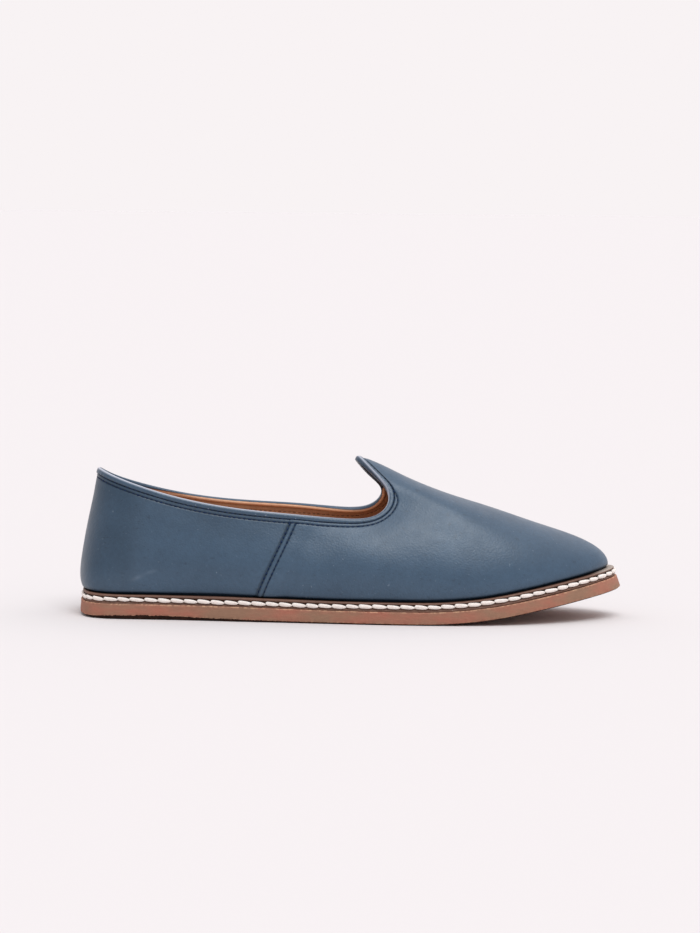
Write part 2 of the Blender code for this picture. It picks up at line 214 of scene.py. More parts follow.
class ClosedSpline:
    """Smooth closed curve through rows of values."""

    def __init__(self, knots, values):
        self.knots = knots
        self.values = values
        gap = np.diff(knots)[:, None]
        gap_back = np.roll(gap, 1, axis=0)
        here = np.eye(len(values))
        back, ahead = np.roll(here, -1, axis=1), np.roll(here, 1, axis=1)
        matrix = gap_back * back + 2 * (gap_back + gap) * here + gap * ahead
        slopes = (np.roll(values, -1, axis=0) - values) / gap
        self.bends = np.linalg.solve(matrix, 6 * (slopes - np.roll(slopes, 1, axis=0)))

    def __call__(self, u):
        u = np.mod(u, self.knots[-1])
        here = np.clip(np.searchsorted(self.knots, u, side="right") - 1, 0, len(self.values) - 1)
        ahead = (here + 1) % len(self.values)
        gap = (self.knots[here + 1] - self.knots[here])[:, None]
        a = (self.knots[here + 1] - u)[:, None] / gap
        b = 1 - a
        bend = (a**3 - a) * self.bends[here] + (b**3 - b) * self.bends[ahead]
        return a * self.values[here] + b * self.values[ahead] + bend * gap**2 / 6


def station_values(name, side):
    """One row of the loop: sole x, y and inset, topline point, the wall's two handles."""
    sole = dict(zip(SOLE_COLUMNS, SOLE_ROWS[name]))
    wall = dict(zip(WALL_COLUMNS, WALL_ROWS[name]))
    sign = -1 if side == "lateral" else 1
    half_width = BALL_WIDTH / 2
    return (sole["x_" + side] / 100 * LENGTH, sole["y_" + side] / 100 * half_width, wall["inset"],
            wall["top_x_" + side] / 100 * LENGTH, sign * wall["top_y"] / 100 * half_width,
            wall["top_z_" + side] / 100 * INSTEP_HEIGHT,
            wall["rise"], wall["flare"], wall["lean"],
            wall["ahead"], sign * wall["out"], -wall["drop"])


def shoe_loop():
    """Spline around the shoe: heel back, lateral side, toe, medial side and back to the heel."""
    rows = [station_values(name, "lateral") for name in STATIONS]
    rows += [station_values(name, "medial") for name in STATIONS[-2:0:-1]]
    table = np.array(rows)
    shares = []
    for edge in (table[:, 0:2], table[:, 3:6]):
        steps = np.linalg.norm(np.roll(edge, -1, axis=0) - edge, axis=1)
        shares.append(steps / steps.sum())
    return ClosedSpline(np.concatenate([[0.0], np.cumsum(sum(shares) / 2)]), table)


LOOP = shoe_loop()
TOE_U = LOOP.knots[STATIONS.index("toe_tip")]
HALVES = ((0, TOE_U), (TOE_U, 1))


def both_sides(station):
    """Positions of one station on the lateral and on the medial side."""
    index = STATIONS.index(station)
    return LOOP.knots[index], LOOP.knots[len(LOOP.values) - index]


SEAM_LATERAL_U, SEAM_MEDIAL_U = both_sides("waist")
THROAT_U = both_sides("forepart")
MERGE_U = [throat + TONGUE_MERGE * (tongue - throat)
           for throat, tongue in zip(THROAT_U, both_sides("toe_corner"))]


def smooth_step(low, high, value):
    """Share from 0 at low to 1 at high, which may lie below low."""
    share = np.clip((value - low) / (high - low), 0, 1)
    return share**2 * (3 - 2 * share)


def lessen(values, tone):
    """Factor of 1 where the tone has faded out, down to 1 - share where it is full."""
    share, faded, full = tone
    return 1 - share * smooth_step(faded, full, values)


def unit(vectors):
    """Vectors scaled to length 1."""
    return vectors / np.linalg.norm(vectors, axis=-1, keepdims=True)


def groove(distance, width=GROOVE_WIDTH):
    """Bell curve across a groove, ridge or line: 1 in its middle."""
    return np.exp(-(distance / width)**2)


def run_along(points):
    """Distance covered at each point of a path."""
    return np.concatenate([[0], np.cumsum(np.linalg.norm(np.diff(points, axis=0), axis=1))])


def circle(sides):
    """Angles around a ring."""
    return np.arange(sides) / sides * 2 * math.pi


def sole_underside(x):
    """Height and slope angle of the sole's underside."""
    heel = np.clip(1 - x / HEEL_ROUND_LENGTH, 0, None)
    height = HEEL_ROUND_RISE * heel**2
    slope = -2 * HEEL_ROUND_RISE * heel / HEEL_ROUND_LENGTH
    ahead = np.clip(x - SPRING_FROM, 0, None)
    bent = np.minimum(ahead, SPRING_RADIUS * math.sin(SPRING_ANGLE))
    straight = ahead - bent
    height = height + SPRING_RADIUS - np.sqrt(SPRING_RADIUS**2 - bent**2)
    height = height + straight * math.tan(SPRING_ANGLE)
    return height, np.arctan(slope) + np.arcsin(bent / SPRING_RADIUS)


def sole_point(xy, height):
    """Point at a height above the underside, measured square to the bent sole."""
    base, angle = sole_underside(xy[..., 0])
    height = height * (1 + WEDGE_GAIN * smooth_step(WEDGE_FROM, WEDGE_TO, xy[..., 0]))
    x = xy[..., 0] - height * np.sin(angle)
    z = base + height * np.cos(angle)
    return np.stack([x, xy[..., 1], z], axis=-1)


def sole_outline(u, inset):
    """Sole outline in plan, moved inwards by the inset."""
    step = 1e-4
    along = LOOP(u + step)[:, 0:2] - LOOP(u - step)[:, 0:2]
    outward = unit(np.stack([along[:, 1], -along[:, 0]], axis=1))
    return LOOP(u)[:, 0:2] - outward * np.reshape(inset, (-1, 1)), outward


def wall_handles(u):
    """Four control points of the wall's curve, foot to topline."""
    row = LOOP(u)
    foot_plan, outward = sole_outline(u, row[:, 2])
    foot = sole_point(foot_plan, SOLE_STACK)
    outward = np.column_stack([outward, np.zeros(len(u))])
    rise, flare, lean = row[:, 6:7], row[:, 7:8], row[:, 8:9]
    lower = foot + rise * UP + flare * outward + lean * FORWARD
    top = row[:, 3:6]
    return foot, lower, top + row[:, 9:12], top


def wall_curve(u, t):
    """Points of the outer face: u around the shoe, t from foot (0) to topline (1)."""
    foot, lower, upper, top = (point[:, None, :] for point in wall_handles(u))
    t = t[..., None]
    s = 1 - t
    return s**3 * foot + 3 * s**2 * t * lower + 3 * s * t**2 * upper + t**3 * top


def wall_lengths(u):
    """Arc length along the wall from the topline down, at evenly spaced t."""
    t = np.broadcast_to(np.linspace(1, 0, CURVE_SAMPLES), (len(u), CURVE_SAMPLES))
    points = wall_curve(u, t)
    steps = np.linalg.norm(np.diff(points, axis=1), axis=2)
    return np.column_stack([np.zeros(len(u)), np.cumsum(steps, axis=1)])


def wall_points(u, depth):
    """Points and outward normals of the wall at depths below the topline."""
    lengths = wall_lengths(u)
    samples = np.linspace(1, 0, CURVE_SAMPLES)
    t = np.stack([np.interp(depth[i], lengths[i], samples) for i in range(len(u))])
    step = 1e-4
    around = wall_curve(u + step, t) - wall_curve(u - step, t)
    upwards = wall_curve(u, np.minimum(t + step, 1)) - wall_curve(u, np.maximum(t - step, 0))
    return wall_curve(u, t), unit(np.cross(around, upwards))


def seam_curve(seam_u, count=220):
    """Points down one side seam, from the topline to the foot."""
    length = wall_lengths(np.array([seam_u]))[0, -1]
    return wall_points(np.array([seam_u]), np.linspace(0, length, count)[None])[0][0]


SEAM_CURVES = [seam_curve(SEAM_LATERAL_U), seam_curve(SEAM_MEDIAL_U)]


def seam_distance(points):
    """Distance from each point of a grid to the nearer side seam."""
    flat = points.reshape(-1, 3)
    nearest = np.full(len(flat), np.inf)
    for curve in SEAM_CURVES:
        close = np.abs(flat[:, 0] - curve[:, 0].mean()) < SEAM_REACH
        close &= np.sign(flat[:, 1]) == np.sign(curve[:, 1].mean())
        gaps = np.linalg.norm(flat[close, None] - curve[None], axis=2)
        nearest[close] = np.minimum(nearest[close], gaps.min(axis=1))
    return nearest.reshape(points.shape[:2])


def spaced_columns(start, end, edge_step, edge_width, body_step):
    """Positions from start to end, crowded within edge_width mm of both ends."""
    u = np.linspace(start, end, 1600)
    half = wall_lengths(u)[:, -1:] / 2
    middle = wall_points(u, half)[0][:, 0]
    run = run_along(middle)
    edge = np.arange(0, edge_width, edge_step)
    body_count = int((run[-1] - 2 * edge_width) / body_step)
    body = np.linspace(edge_width, run[-1] - edge_width, body_count)
    stops = np.concatenate([edge, body, run[-1] - edge[::-1]])
    return np.interp(stops, run, u)


def slant(u):
    """Depth along the wall for each mm square to the topline."""
    step, reach = 1e-3, 3.0
    along = LOOP(u + step)[:, 3:6] - LOOP(u - step)[:, 3:6]
    points = wall_points(u, np.broadcast_to([0.0, reach], (len(u), 2)))[0]
    down = points[:, 1] - points[:, 0]
    sine = np.linalg.norm(np.cross(along, down), axis=1)
    sine /= np.linalg.norm(along, axis=1) * np.linalg.norm(down, axis=1)
    return (1 / sine)[:, None]


def wall_depths(u, top, fine_depth, fine_step, body_rows):
    """Row depths for each column: fine below the topline and near the foot, even between."""
    length = wall_lengths(u)[:, -1:]
    fine = np.arange(top, fine_depth, fine_step) * slant(u)
    start = fine_depth * slant(u)
    body = start + (length - BODY_END - start) * np.linspace(0, 1, body_rows)
    return np.concatenate([fine, body, length - np.array(FOOT_ROWS)], axis=1)


def on_tongue(u):
    """Share from 0 at the throat's sides to 1 where the rows have met on the tongue."""
    stops = (0, THROAT_U[0], MERGE_U[0], MERGE_U[1], THROAT_U[1], 1)
    return np.interp(np.mod(u, 1), stops, (0, 0, 1, 1, 0, 0))[:, None]


def collar_rows(u):
    """Distances of the two rows from the topline; the second runs into the first on the tongue."""
    return np.full((len(u), 1), FIRST_ROW), SECOND_ROW + (FIRST_ROW - SECOND_ROW) * on_tongue(u)


def flange_width(u):
    """Width of the binding's inner flange."""
    side = np.interp(LOOP(u)[:, 3:4], FLANGE_AT, FLANGE_WIDTHS)
    return side + (FLANGE_TONGUE - side) * on_tongue(u)


def collar_relief(u, depth):
    """Lift of the leather under the binding and at the rows, and the painted shade in the rows' grooves."""
    first, second = collar_rows(u)
    depth = depth / slant(u)
    lift = -GROOVE_DEPTH * groove(depth - second)
    lift -= COLLAR_SINK * smooth_step(first + 0.25, first - 0.35, depth)
    apart, closest = second - first, 0.3
    between = np.clip((depth - first) / np.maximum(apart, closest), 0, 1)
    lift += COLLAR_PUFF * np.sin(math.pi * between)**2 * smooth_step(closest, 1.0, apart)
    # Painted shade in the rows' grooves
    shade = 1 - FIRST_ROW_SHADE * groove(depth - first, FIRST_ROW_WIDTH)
    return lift, shade * (1 - ROW_SHADE * groove(depth - second))


def lap_lift(distance, depth):
    """Rise of the vamp's edge where it lies on the quarter, below the binding."""
    lap = LEATHER * (1 - smooth_step(LAP_WIDTH, LAP_WIDTH + LAP_FADE, distance))
    return lap * smooth_step(FIRST_ROW - 0.4, FIRST_ROW + 0.6, depth)


def tongue_crown(points, depth):
    """Rise along the vamp's ridge: a full tongue, then a slight hollow."""
    crown = CROWN * groove(depth - CROWN_AT, CROWN_WIDTH) * smooth_step(-1.5, 6, depth)
    hollow = HOLLOW * groove(depth - HOLLOW_AT, HOLLOW_WIDTH)
    return (crown - hollow) * groove(points[..., 1], RIDGE_WIDTH + RIDGE_SPREAD * depth)


def hand_waves(points):
    """Slight unevenness of hand-lasted leather, in mm."""
    x, y, z = (points[..., k] for k in range(3))
    long = np.sin(x / 17 + 1.3) * np.sin(z / 11 + 0.4)
    short = np.sin(x / 7.3 + y / 9 + 2.0) * np.sin(z / 6.1 + x / 23)
    return LONG_WAVE * long + SHORT_WAVE * short


# Mesh helpers

def grid_faces(columns, rows, wrap_columns, wrap_rows):
    """Quads of a grid of points stored column by column."""
    i = np.arange(columns if wrap_columns else columns - 1)
    j = np.arange(rows if wrap_rows else rows - 1)
    i, j = (axis.ravel() for axis in np.meshgrid(i, j, indexing="ij"))
    ahead, above = (i + 1) % columns, (j + 1) % rows
    return np.stack([i * rows + j, ahead * rows + j, ahead * rows + above, i * rows + above], axis=1)


def both_faces(outer, inner):
    """Columns that run up the outer face and down the inner one."""
    return np.concatenate([outer[:, ::-1], inner], axis=1)


def sheet_faces(columns, rows):
    """Faces of a closed sheet of such columns, with both ends capped."""
    ring = 2 * rows
    j = np.arange(rows - 1)
    cap = np.stack([j, j + 1, ring - 2 - j, ring - 1 - j], axis=1)
    last = (columns - 1) * ring
    return np.concatenate([grid_faces(columns, ring, False, True), cap, last + cap[:, ::-1]])


def model_origin():
    """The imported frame's origin in the shape's own millimetres, read from the outsole's box."""
    u = np.concatenate([np.linspace(*half, SOLID_STEPS, endpoint=False) for half in HALVES])
    edge = sole_point(sole_outline(u, 0.0)[0], SOLID_EDGE_HEIGHT)
    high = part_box("outsole")[1]
    return np.array([edge[:, 0].max() - high.x / MM, edge[:, 1].max() - high.y / MM, 0.0])


ORIGIN = model_origin()


def add_piece(name, points, faces, material, replaced=None, shade=1.0, wear_and_highlight=0.0, uv=None):
    """Piece from millimetre points, with a tone (painted shade, on the rubber the burr's mask) and a share of
    scuffing and painted highlight for each of them.
    """
    mesh = bpy.data.meshes.new(name)
    corners = ((points.reshape(-1, 3) - ORIGIN) * MM).tolist()
    mesh.from_pydata(corners, [], [[int(i) for i in face] for face in faces])
    mesh.materials.append(material)
    mesh.shade_smooth()
    for attribute, values in (("shade", shade), ("wear_and_highlight", wear_and_highlight)):
        layer = mesh.attributes.new(attribute, "FLOAT", "POINT")
        values = np.broadcast_to(np.ravel(values), len(corners))
        layer.data.foreach_set("value", values.astype(np.float32))
    if uv is not None:
        layer = mesh.uv_layers.new(name="thread")
        loops = np.zeros(len(mesh.loops), np.int32)
        mesh.loops.foreach_get("vertex_index", loops)
        layer.data.foreach_set("uv", uv.reshape(-1, 2)[loops].ravel().astype(np.float32))
    piece = bpy.data.objects.new(name, mesh)
    bpy.context.scene.collection.objects.link(piece)
    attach(piece, BODY)
    if replaced:
        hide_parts(replaced)
    return piece


# Upper

def scuff_marks(points):
    """Wear along the short scuffs on the lateral side."""
    wear_and_highlight = np.zeros(points.shape[:-1])
    for start, end, width, strength in SCUFFS:
        start, along = np.array(start), np.subtract(end, start)
        flat = points[..., [0, 2]] - start
        share = np.clip(flat @ along / (along @ along), 0, 1)
        gap = np.linalg.norm(flat - share[..., None] * along, axis=-1)
        wear_and_highlight = np.maximum(wear_and_highlight, strength * groove(gap, width) * (0.4 + 0.6 * np.sin(math.pi * share)))
    return wear_and_highlight * (points[..., 1] < 0)


def add_leather_panel(name, u, laps, material, replaced=None):
    """Vamp or quarter as a closed sheet; the vamp laps over the quarter."""
    depth = wall_depths(u, top=1.0, fine_depth=6.6, fine_step=0.22, body_rows=56)
    points, normal = wall_points(u, depth)
    lift, shade = collar_relief(u, depth)
    lift += hand_waves(points) * smooth_step(WAVES_FROM, WAVES_FULL, depth)
    distance = seam_distance(points)
    above_welt = depth[:, -1:] - depth
    below = smooth_step(SEAM_TOP - 0.6, SEAM_TOP + 0.4, depth)
    if laps:
        lift += lap_lift(distance, depth) + tongue_crown(points, depth)
        # Painted shade in the seam rows' grooves
        for row, width in zip(SEAM_ROWS, SEAM_MARKS):
            mark = groove(distance - row, width) * below
            lift -= GROOVE_DEPTH * mark
            shade *= 1 - ROW_SHADE * mark
        between = np.clip((distance - SEAM_ROWS[0]) / (SEAM_ROWS[1] - SEAM_ROWS[0]), 0, 1)
        lift += SEAM_PUFF * np.sin(math.pi * between)**2 * below
        lift -= LAP_DROP * smooth_step(LAP_ROUND, 0.0, distance)
    else:
        # Painted shadow of the lap's edge on the quarter
        shade *= 1 - LAP_SHADOW * groove(distance, LAP_SHADOW_WIDTH) * below
        # Painted shade over the heel's rounded back and on the quarter towards its topline
        shade *= lessen(points[..., 0], HEEL_BACK_SHADE) * lessen(depth, HIGH_SHADE)
    # Painted light just above the welt, and painted shade in the crease at the foot
    low_light = LOW_LIGHT_VAMP if laps else LOW_LIGHT_QUARTER
    shade *= lessen(above_welt, low_light) * lessen(above_welt, FOOT_SHADE)
    lift -= FOOT_TUCK * smooth_step(FOOT_TUCK_HEIGHT, FOOT_EDGE, above_welt)
    back = np.maximum(np.minimum(lift, LEATHER) - LEATHER, BACK_GAP - WALL_THICKNESS)
    outer = points + normal * lift[..., None]
    inner = points + normal * back[..., None]
    for face, tuck in ((outer, FOOT_TUCK), (inner, WALL_THICKNESS - BACK_GAP)):
        face[:, -1] = sole_point(sole_outline(u, LOOP(u)[:, 2] + tuck)[0], SOLE_STACK - FOOT_SINK)
    rings = both_faces(outer, inner)
    faces = sheet_faces(len(u), depth.shape[1])
    add_piece(name, rings, faces, material, replaced, both_faces(shade, shade),
              scuff_marks(rings))


def add_vamp(material):
    u = spaced_columns(SEAM_LATERAL_U, SEAM_MEDIAL_U, edge_step=0.35, edge_width=9.0, body_step=1.0)
    add_leather_panel("vamp", u, True, material, "upper")


def add_quarter(material):
    u = spaced_columns(SEAM_MEDIAL_U - 1, SEAM_LATERAL_U, edge_step=0.4, edge_width=5.0, body_step=0.9)
    tuck = TUCK_UNDER_LAP / LENGTH / 2
    u = np.concatenate([[u[0] - tuck], u, [u[-1] + tuck]])
    add_leather_panel("quarter", u, False, material)


def even_steps(start, end, count, columns, samples):
    """Positions from start to end, even along the path in some of the loop's columns."""
    u = np.linspace(start, end, samples)
    run = run_along(LOOP(u)[:, columns])
    return np.interp(np.arange(count) / count * run[-1], run, u)


def loop_columns(count):
    """Even positions around the topline."""
    return even_steps(0, 1, count, slice(3, 6), 4001)


def add_lining(material):
    """Tan lining inside the leather, with a rolled band below the binding that is paler by its own colour and
    by painted light, and painted shade in the crease below it and on the tongue.
    """
    u = loop_columns(420)
    depth = wall_depths(u, top=BAND_FROM, fine_depth=6.5, fine_step=0.25, body_rows=30)
    points, normal = wall_points(u, depth)
    square = depth / slant(u)
    top_x, tongue, width = LOOP(u)[:, 3:4], on_tongue(u), flange_width(u)
    rolled = smooth_step(ROLL_FROM, ROLL_FULL, top_x) * (1 - tongue)
    across = np.clip((square - BAND_FROM) / (BAND_TO - BAND_FROM), 0, 1)
    roll = BAND_ROLL * np.sin(math.pi * across)**0.7 * rolled
    thinned = LINING_THINNED * (1 - rolled) * smooth_step(width, width - 0.3, square)
    face = -WALL_THICKNESS - roll + thinned + LINING_PINCH * groove(square - collar_rows(u)[1])
    tuck = FOOT_TUCK * smooth_step(FOOT_TUCK_HEIGHT, FOOT_EDGE, depth[:, -1:] - depth)
    back = -WALL_THICKNESS + LINING - tuck
    # The band is paler partly by its own colour and partly by painted light; painted shade in the crease
    # below it and on the tongue
    pale = BAND_PALE_AND_LIT + BAND_LIGHT_GAIN * smooth_step(GAIN_FROM, GAIN_FULL, top_x)
    shade = LINING_TONE + pale * smooth_step(BAND_TO, BAND_TO - 0.4, square)
    shade -= CREASE_SHADE * groove(square - BAND_TO - 0.05, CREASE_WIDTH)
    shade *= 1 - TONGUE_SHADE * tongue
    rings = both_faces(points + normal * back[..., None], points + normal * face[..., None])
    faces = grid_faces(len(u), rings.shape[1], True, True)
    add_piece("lining", rings, faces, material, shade=both_faces(shade, shade))


def add_binding(material):
    """Folded strip over the top edge: a rounded outer fold and an inner flange, with painted shade at the
    fold's lower edge and a painted highlight along its top.
    """
    u = loop_columns(720)
    tongue = on_tongue(u)
    # Depth and lift of the section's points; the flange's depth is a share of its width
    outer = [(BINDING_EDGE + 0.05, -0.25), (BINDING_EDGE, 0.1), (2.4, 0.36), (1.9, 0.54), (1.4, 0.62),
             (0.95, 0.56), (0.5, 0.36), (0.25, 0.08), (0.08, -0.35), (0.0, -0.8), (0.04, -1.3), (0.15, -1.7)]
    flange = [(0.6, -1.95), (0.9, -2.0), (1.0, -1.9), (0.9, -1.6)]
    hidden = [(0.4, -1.2), (0.4, -0.7), (1.2, -0.35), (1.8, -0.3)]
    top = LOOP(u)[:, 3:6]
    section = np.array(outer + flange + hidden)
    depth, lift = (np.tile(column, (len(u), 1)) for column in section.T)
    depth[:, len(outer):-len(hidden)] *= flange_width(u)
    lift = np.where(lift > 0, lift * lessen(top[:, :1], HEEL_FLATTER), lift)
    turns = round(run_along(np.vstack([top, top[:1]]))[-1] / STITCH_PITCH)
    pull = STITCH_PULL * np.cos(circle(len(u)) * turns)[:, None] * smooth_step(0.8, 2.0, depth) * (lift > 0)
    points, normal = wall_points(u, depth * slant(u))
    fold = lift > -0.5
    crown = tongue_crown(points, depth) * fold
    rings = points + normal * (lift + pull + crown)[..., None]
    # Painted shade at the fold's lower edge and on the tongue's fold
    shade = np.where(fold, lessen(depth, EDGE_SHADE), 1)
    shade *= 1 - FOLD_SHADE * tongue * smooth_step(0.8, 0.3, depth) * fold
    # Painted highlight along the fold's top, stronger on the lateral side
    highlight_strength = np.where(points[..., 1] < 0, HIGHLIGHT_LATERAL - TONGUE_WEAKER * tongue, HIGHLIGHT_MEDIAL)
    highlight_strength += TONGUE_PEAK * groove(points[..., 1], 5.0) * tongue
    wear_and_highlight = np.clip(highlight_strength * groove(depth - HIGHLIGHT_AT - TONGUE_SHIFT * tongue, HIGHLIGHT_WIDTH) * fold, 0, 1)
    faces = grid_faces(len(u), depth.shape[1], True, True)
    add_piece("topline_binding", rings, faces, material, "collar_binding", shade, wear_and_highlight)


# Stitches

def sample(values, run, stops):
    """Values given along a path, read off at other distances along it."""
    return np.stack([np.interp(stops, run, column) for column in values.T], axis=1)


def path_frames(points, normals, stops):
    """Positions, directions and normals at arc lengths along a path."""
    run = run_along(points)
    flat, reach = stops.ravel(), 0.2
    place, normal = sample(points, run, flat), sample(normals, run, flat)
    along = unit(sample(points, run, flat + reach) - sample(points, run, flat - reach))
    normal = unit(normal - (normal * along).sum(axis=1, keepdims=True) * along)
    shape = stops.shape + (3,)
    return place.reshape(shape), along.reshape(shape), normal.reshape(shape)


def tubes_around(centre, across, normal, girth, angle, flat=1.0):
    """Rings of points around the middle lines of stitches."""
    wide, high = np.cos(angle)[:, None], flat * np.sin(angle)[:, None]
    ring = wide * across[:, :, None] + high * normal[:, :, None]
    return centre[:, :, None] + ring * girth[..., None]


def thread_bodies(points, normals, radius=STITCH_RADIUS, sides=7, segments=8):
    """Short uneven stitches along a path, their ends dipping into the leather."""
    length = run_along(points)[-1]
    count = round(length / STITCH_PITCH)
    rng = np.random.default_rng(11)
    starts = np.arange(count) * length / count
    share = np.linspace(0, 1, segments + 1)
    reach = STITCH_LENGTH * rng.uniform(0.8, 1.12, count)
    place, along, normal = path_frames(points, normals, starts[:, None] + share * reach[:, None])
    across = np.cross(normal, along)
    bulge = np.clip(np.sin(math.pi * share), 0, 1)
    rise, tip = 0.22, 0.12
    centre = place + normal * (rise * bulge**0.6 - 0.5 * radius)[None, :, None]
    girth = radius * rng.uniform(0.75, 1.25, count)[:, None] * (tip + (1 - tip) * bulge**0.45)
    return tubes_around(centre, across, normal, girth[..., None], circle(sides))


def tube_faces(count, rings, sides):
    """Quads and end caps of many tubes stored one after another."""
    base = np.arange(count)[:, None, None] * rings * sides
    cap = np.arange(sides)
    caps = np.stack([cap[::-1], (rings - 1) * sides + cap])
    quads = base + grid_faces(rings, sides, False, True)
    return [*quads.reshape(-1, 4), *(base + caps).reshape(-1, sides)]


def add_threads(name, runs, material):
    """One joined piece from several arrays of stitch tubes."""
    points, faces, offset = [], [], 0
    for tubes in runs:
        faces += [offset + face for face in tube_faces(*tubes.shape[:3])]
        points.append(tubes.reshape(-1, 3))
        offset += len(points[-1])
    add_piece(name, np.concatenate(points), faces, material)


def collar_path(u, row):
    """Path of one collar row on the leather's outer face, over the laps as well."""
    depth = collar_rows(u)[row] * slant(u)
    points, normals = wall_points(u, depth)
    on_vamp = (np.mod(u, 1) > SEAM_LATERAL_U) & (np.mod(u, 1) < SEAM_MEDIAL_U)
    lift = lap_lift(seam_distance(points), depth)[:, 0] * on_vamp - GROOVE_DEPTH * 0.7
    return points[:, 0] + normals[:, 0] * lift[:, None], normals[:, 0]


def collar_stitch_runs():
    """Two rows below the binding; the second ends where it meets the first."""
    first = collar_path(np.linspace(0, 1, 2400), 0)
    second = collar_path(np.linspace(MERGE_U[1] - 1, MERGE_U[0], 2000), 1)
    return [thread_bodies(*first), thread_bodies(*second)]


def lining_stitch_runs():
    """Inner side of the second row, on the lining."""
    u = np.linspace(MERGE_U[1] - 1, MERGE_U[0], 2000)
    points, normals = wall_points(u, collar_rows(u)[1] * slant(u))
    path = points[:, 0] - normals[:, 0] * (WALL_THICKNESS - 0.2)
    return [thread_bodies(path, -normals[:, 0])]


def seam_row_path(seam_u, direction, distance):
    """Path on the vamp at a distance from one side seam, down to the foot, and its normals."""
    reach, foot_gap = 0.03, 2.0
    u = seam_u + direction * np.linspace(0, reach, 60)
    length = wall_lengths(u)[:, -1]
    share = np.linspace(0, 1, 80)
    depth = SEAM_TOP + (length[:, None] - foot_gap - SEAM_TOP) * share
    points, normals = wall_points(u, depth)
    gaps = seam_distance(points)
    return [np.concatenate([sample(values[:, j], gaps[:, j], [distance]) for j in range(len(share))])
            for values in (points, normals)]


def seam_stitch_runs():
    runs = []
    for seam_u, direction in ((SEAM_LATERAL_U, 1), (SEAM_MEDIAL_U, -1)):
        for distance, radius in zip(SEAM_ROWS, SEAM_THREADS):
            path, normals = seam_row_path(seam_u, direction, distance)
            path = path + normals * (LEATHER - GROOVE_DEPTH * 0.75)
            runs.append(thread_bodies(path, normals, radius))
    return runs


def add_welt_stitches(material):
    """Thick two-strand stitches in the welt's groove, blunt at the start and tapered."""
    u = np.linspace(0, 1, 3001)
    plan, outward = sole_outline(u, WELT_ROW_INSET)
    height = WELT_ROW_HEIGHT + np.interp(plan[:, 0], ROW_AT, ROW_RISES)
    path = sole_point(plan, MIDSOLE_BASE + height)
    normals = np.column_stack([outward, np.zeros(len(u))])
    total = run_along(path)[-1]
    rng = np.random.default_rng(7)
    edges = np.arange(WELT_STITCHES + 1) / WELT_STITCHES * total
    uneven, before, overlap = 0.4, 0.05, 0.15
    edges[1:-1] += rng.uniform(-uneven, uneven, WELT_STITCHES - 1)
    starts = edges[:-1] - before
    lengths = np.diff(edges) + overlap
    segments, sides = 24, 16
    share = np.linspace(0, 1, segments + 1)
    stops = np.mod(starts[:, None] + share * lengths[:, None], total)
    place, along, normal = path_frames(path, normals, stops)
    across = np.cross(normal, along)
    girth = np.interp(share, GIRTH_AT, GIRTHS)
    size = WELT_STITCH_RADIUS * rng.uniform(0.92, 1.06, WELT_STITCHES)[:, None] * girth
    slope = STITCH_SLANT * (1 - 2 * share)
    sway = rng.uniform(-STITCH_SWAY, STITCH_SWAY, WELT_STITCHES)[:, None]
    dip = STITCH_BOW * np.sin(math.pi * share)**0.6 - STITCH_SUNK
    centre = place + across * (slope + sway)[..., None] + normal * dip[:, None]
    angle = circle(sides)
    slit = 1 - STRAND_SLIT * np.abs(np.cos(angle[None, None] - 0.5 * math.pi - 0.5 * share[None, :, None]))**8
    tubes = tubes_around(centre, across, normal, size[:, :, None] * slit, angle, STITCH_FLAT)
    uv = np.empty(tubes.shape[:3] + (2,))
    uv[..., 0] = share[None, :, None]
    uv[..., 1] = (angle / (2 * math.pi))[None, None]
    add_piece("welt_stitches", tubes, tube_faces(*tubes.shape[:3]), material, uv=uv)


# Sole

def loop_positions(count):
    """Steps from the heel to the toe and back, even along the sole's edge, in opposite pairs."""
    return np.concatenate([even_steps(*half, count // 2, slice(0, 2), 2001) for half in HALVES])


def cap_faces(first, base, half, across, flip):
    """Faces that close one outline of `2 * half` points from `first` on, over rungs of inner points."""
    index = np.empty((half - 1, across + 1), int)
    index[:, 0] = first + np.arange(1, half)
    index[:, -1] = first + np.arange(2 * half - 1, half, -1)
    index[:, 1:-1] = base + np.arange((half - 1) * (across - 1)).reshape(half - 1, across - 1)
    quads = np.stack([index[:-1, :-1], index[1:, :-1], index[1:, 1:], index[:-1, 1:]], axis=-1)
    faces = list(quads.reshape(-1, 4))
    for k in range(across):
        faces.append(np.array([first, index[0, k], index[0, k + 1]]))
        faces.append(np.array([first + half, index[-1, k + 1], index[-1, k]]))
    return [face[::-1] for face in faces] if flip else faces


def slab(loops, across):
    """Sole layer: stacked outlines, closed below and above by rungs of `across` cells each."""
    count = len(loops[0])
    half = count // 2
    points = [np.concatenate(loops)]
    faces = list(grid_faces(len(loops), count, False, True)[:, ::-1])
    share = np.linspace(0, 1, across + 1)[None, 1:-1, None]
    base = len(points[0])
    for level, flip in ((0, True), (len(loops) - 1, False)):
        left, right = loops[level][1:half, None], loops[level][:half:-1, None]
        inner = (left * (1 - share) + right * share).reshape(-1, 3)
        faces += cap_faces(level * count, base, half, across, flip)
        points.append(inner)
        base += len(inner)
    return np.concatenate(points), faces


def edge_loops(u, section, base, rough):
    """Outlines of a sole layer from its edge section of insets, heights and roughness."""
    loops = []
    rng = np.random.default_rng(3)
    for inset, height, roughness in section:
        ragged = rng.normal(0, rough, len(u)) * roughness
        loops.append(sole_point(sole_outline(u, inset + ragged)[0], base + height))
    return loops


